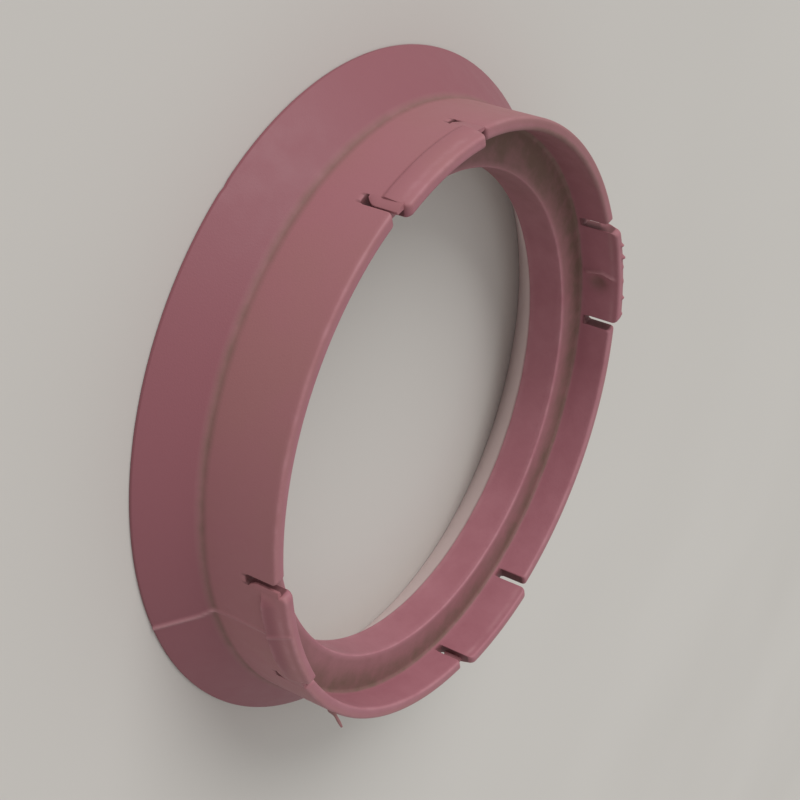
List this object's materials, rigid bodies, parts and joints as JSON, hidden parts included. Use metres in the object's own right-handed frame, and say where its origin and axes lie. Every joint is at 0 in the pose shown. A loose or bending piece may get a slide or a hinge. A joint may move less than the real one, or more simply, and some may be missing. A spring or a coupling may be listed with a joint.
{
  "type": "hub centric ring",
  "caption": "Dusty pink plastic hub centric ring with a conical flange, a stepped bore and slit snap clips round its rim.",
  "frame": {"origin": "centre of the flange's back face, where the ring rests", "axes": "+Z along the ring's axis, from the flange to the snap clips; +X midway between two clips"},
  "size_m": [0.082, 0.082, 0.016],
  "materials": {
    "ring_plastic": "satin moulded plastic, dusty pink, scuffed and dirty in the corners"
  },
  "bodies": {
    "root": {"centring_ring": "ring_plastic"}
  },
  "joints": []
}
